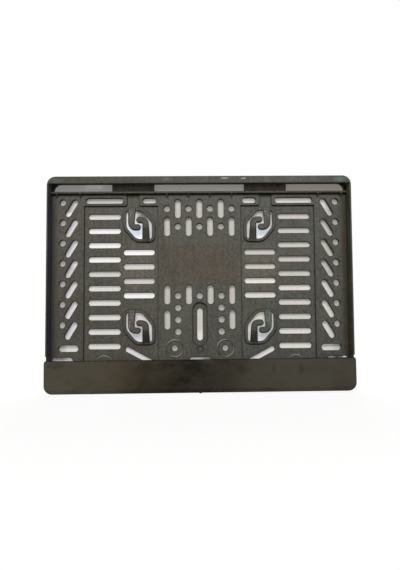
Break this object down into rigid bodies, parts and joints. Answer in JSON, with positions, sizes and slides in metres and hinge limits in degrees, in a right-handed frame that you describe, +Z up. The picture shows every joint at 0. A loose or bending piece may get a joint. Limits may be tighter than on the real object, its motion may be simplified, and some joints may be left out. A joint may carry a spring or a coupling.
{
  "type": "number plate holder",
  "caption": "Slotted plastic backing frame with a top lip and moulded spring fingers, and a glossy clip-on bottom strip, for carrying a number plate on a vehicle.",
  "frame": {"origin": "on the back face that lies against the vehicle, behind the middle of the plate's seat", "axes": "+X to the right as seen from the front, +Z up, -Y out of the front; +Y is the back face's outward normal"},
  "size_m": [0.3477, 0.0155, 0.2455],
  "materials": {
    "backing_frame": "fine matte moulded grain",
    "front_strip": "polished, with faint wear"
  },
  "bodies": {
    "root": {"backing_frame": "backing_frame", "front_strip": "front_strip"}
  },
  "joints": []
}
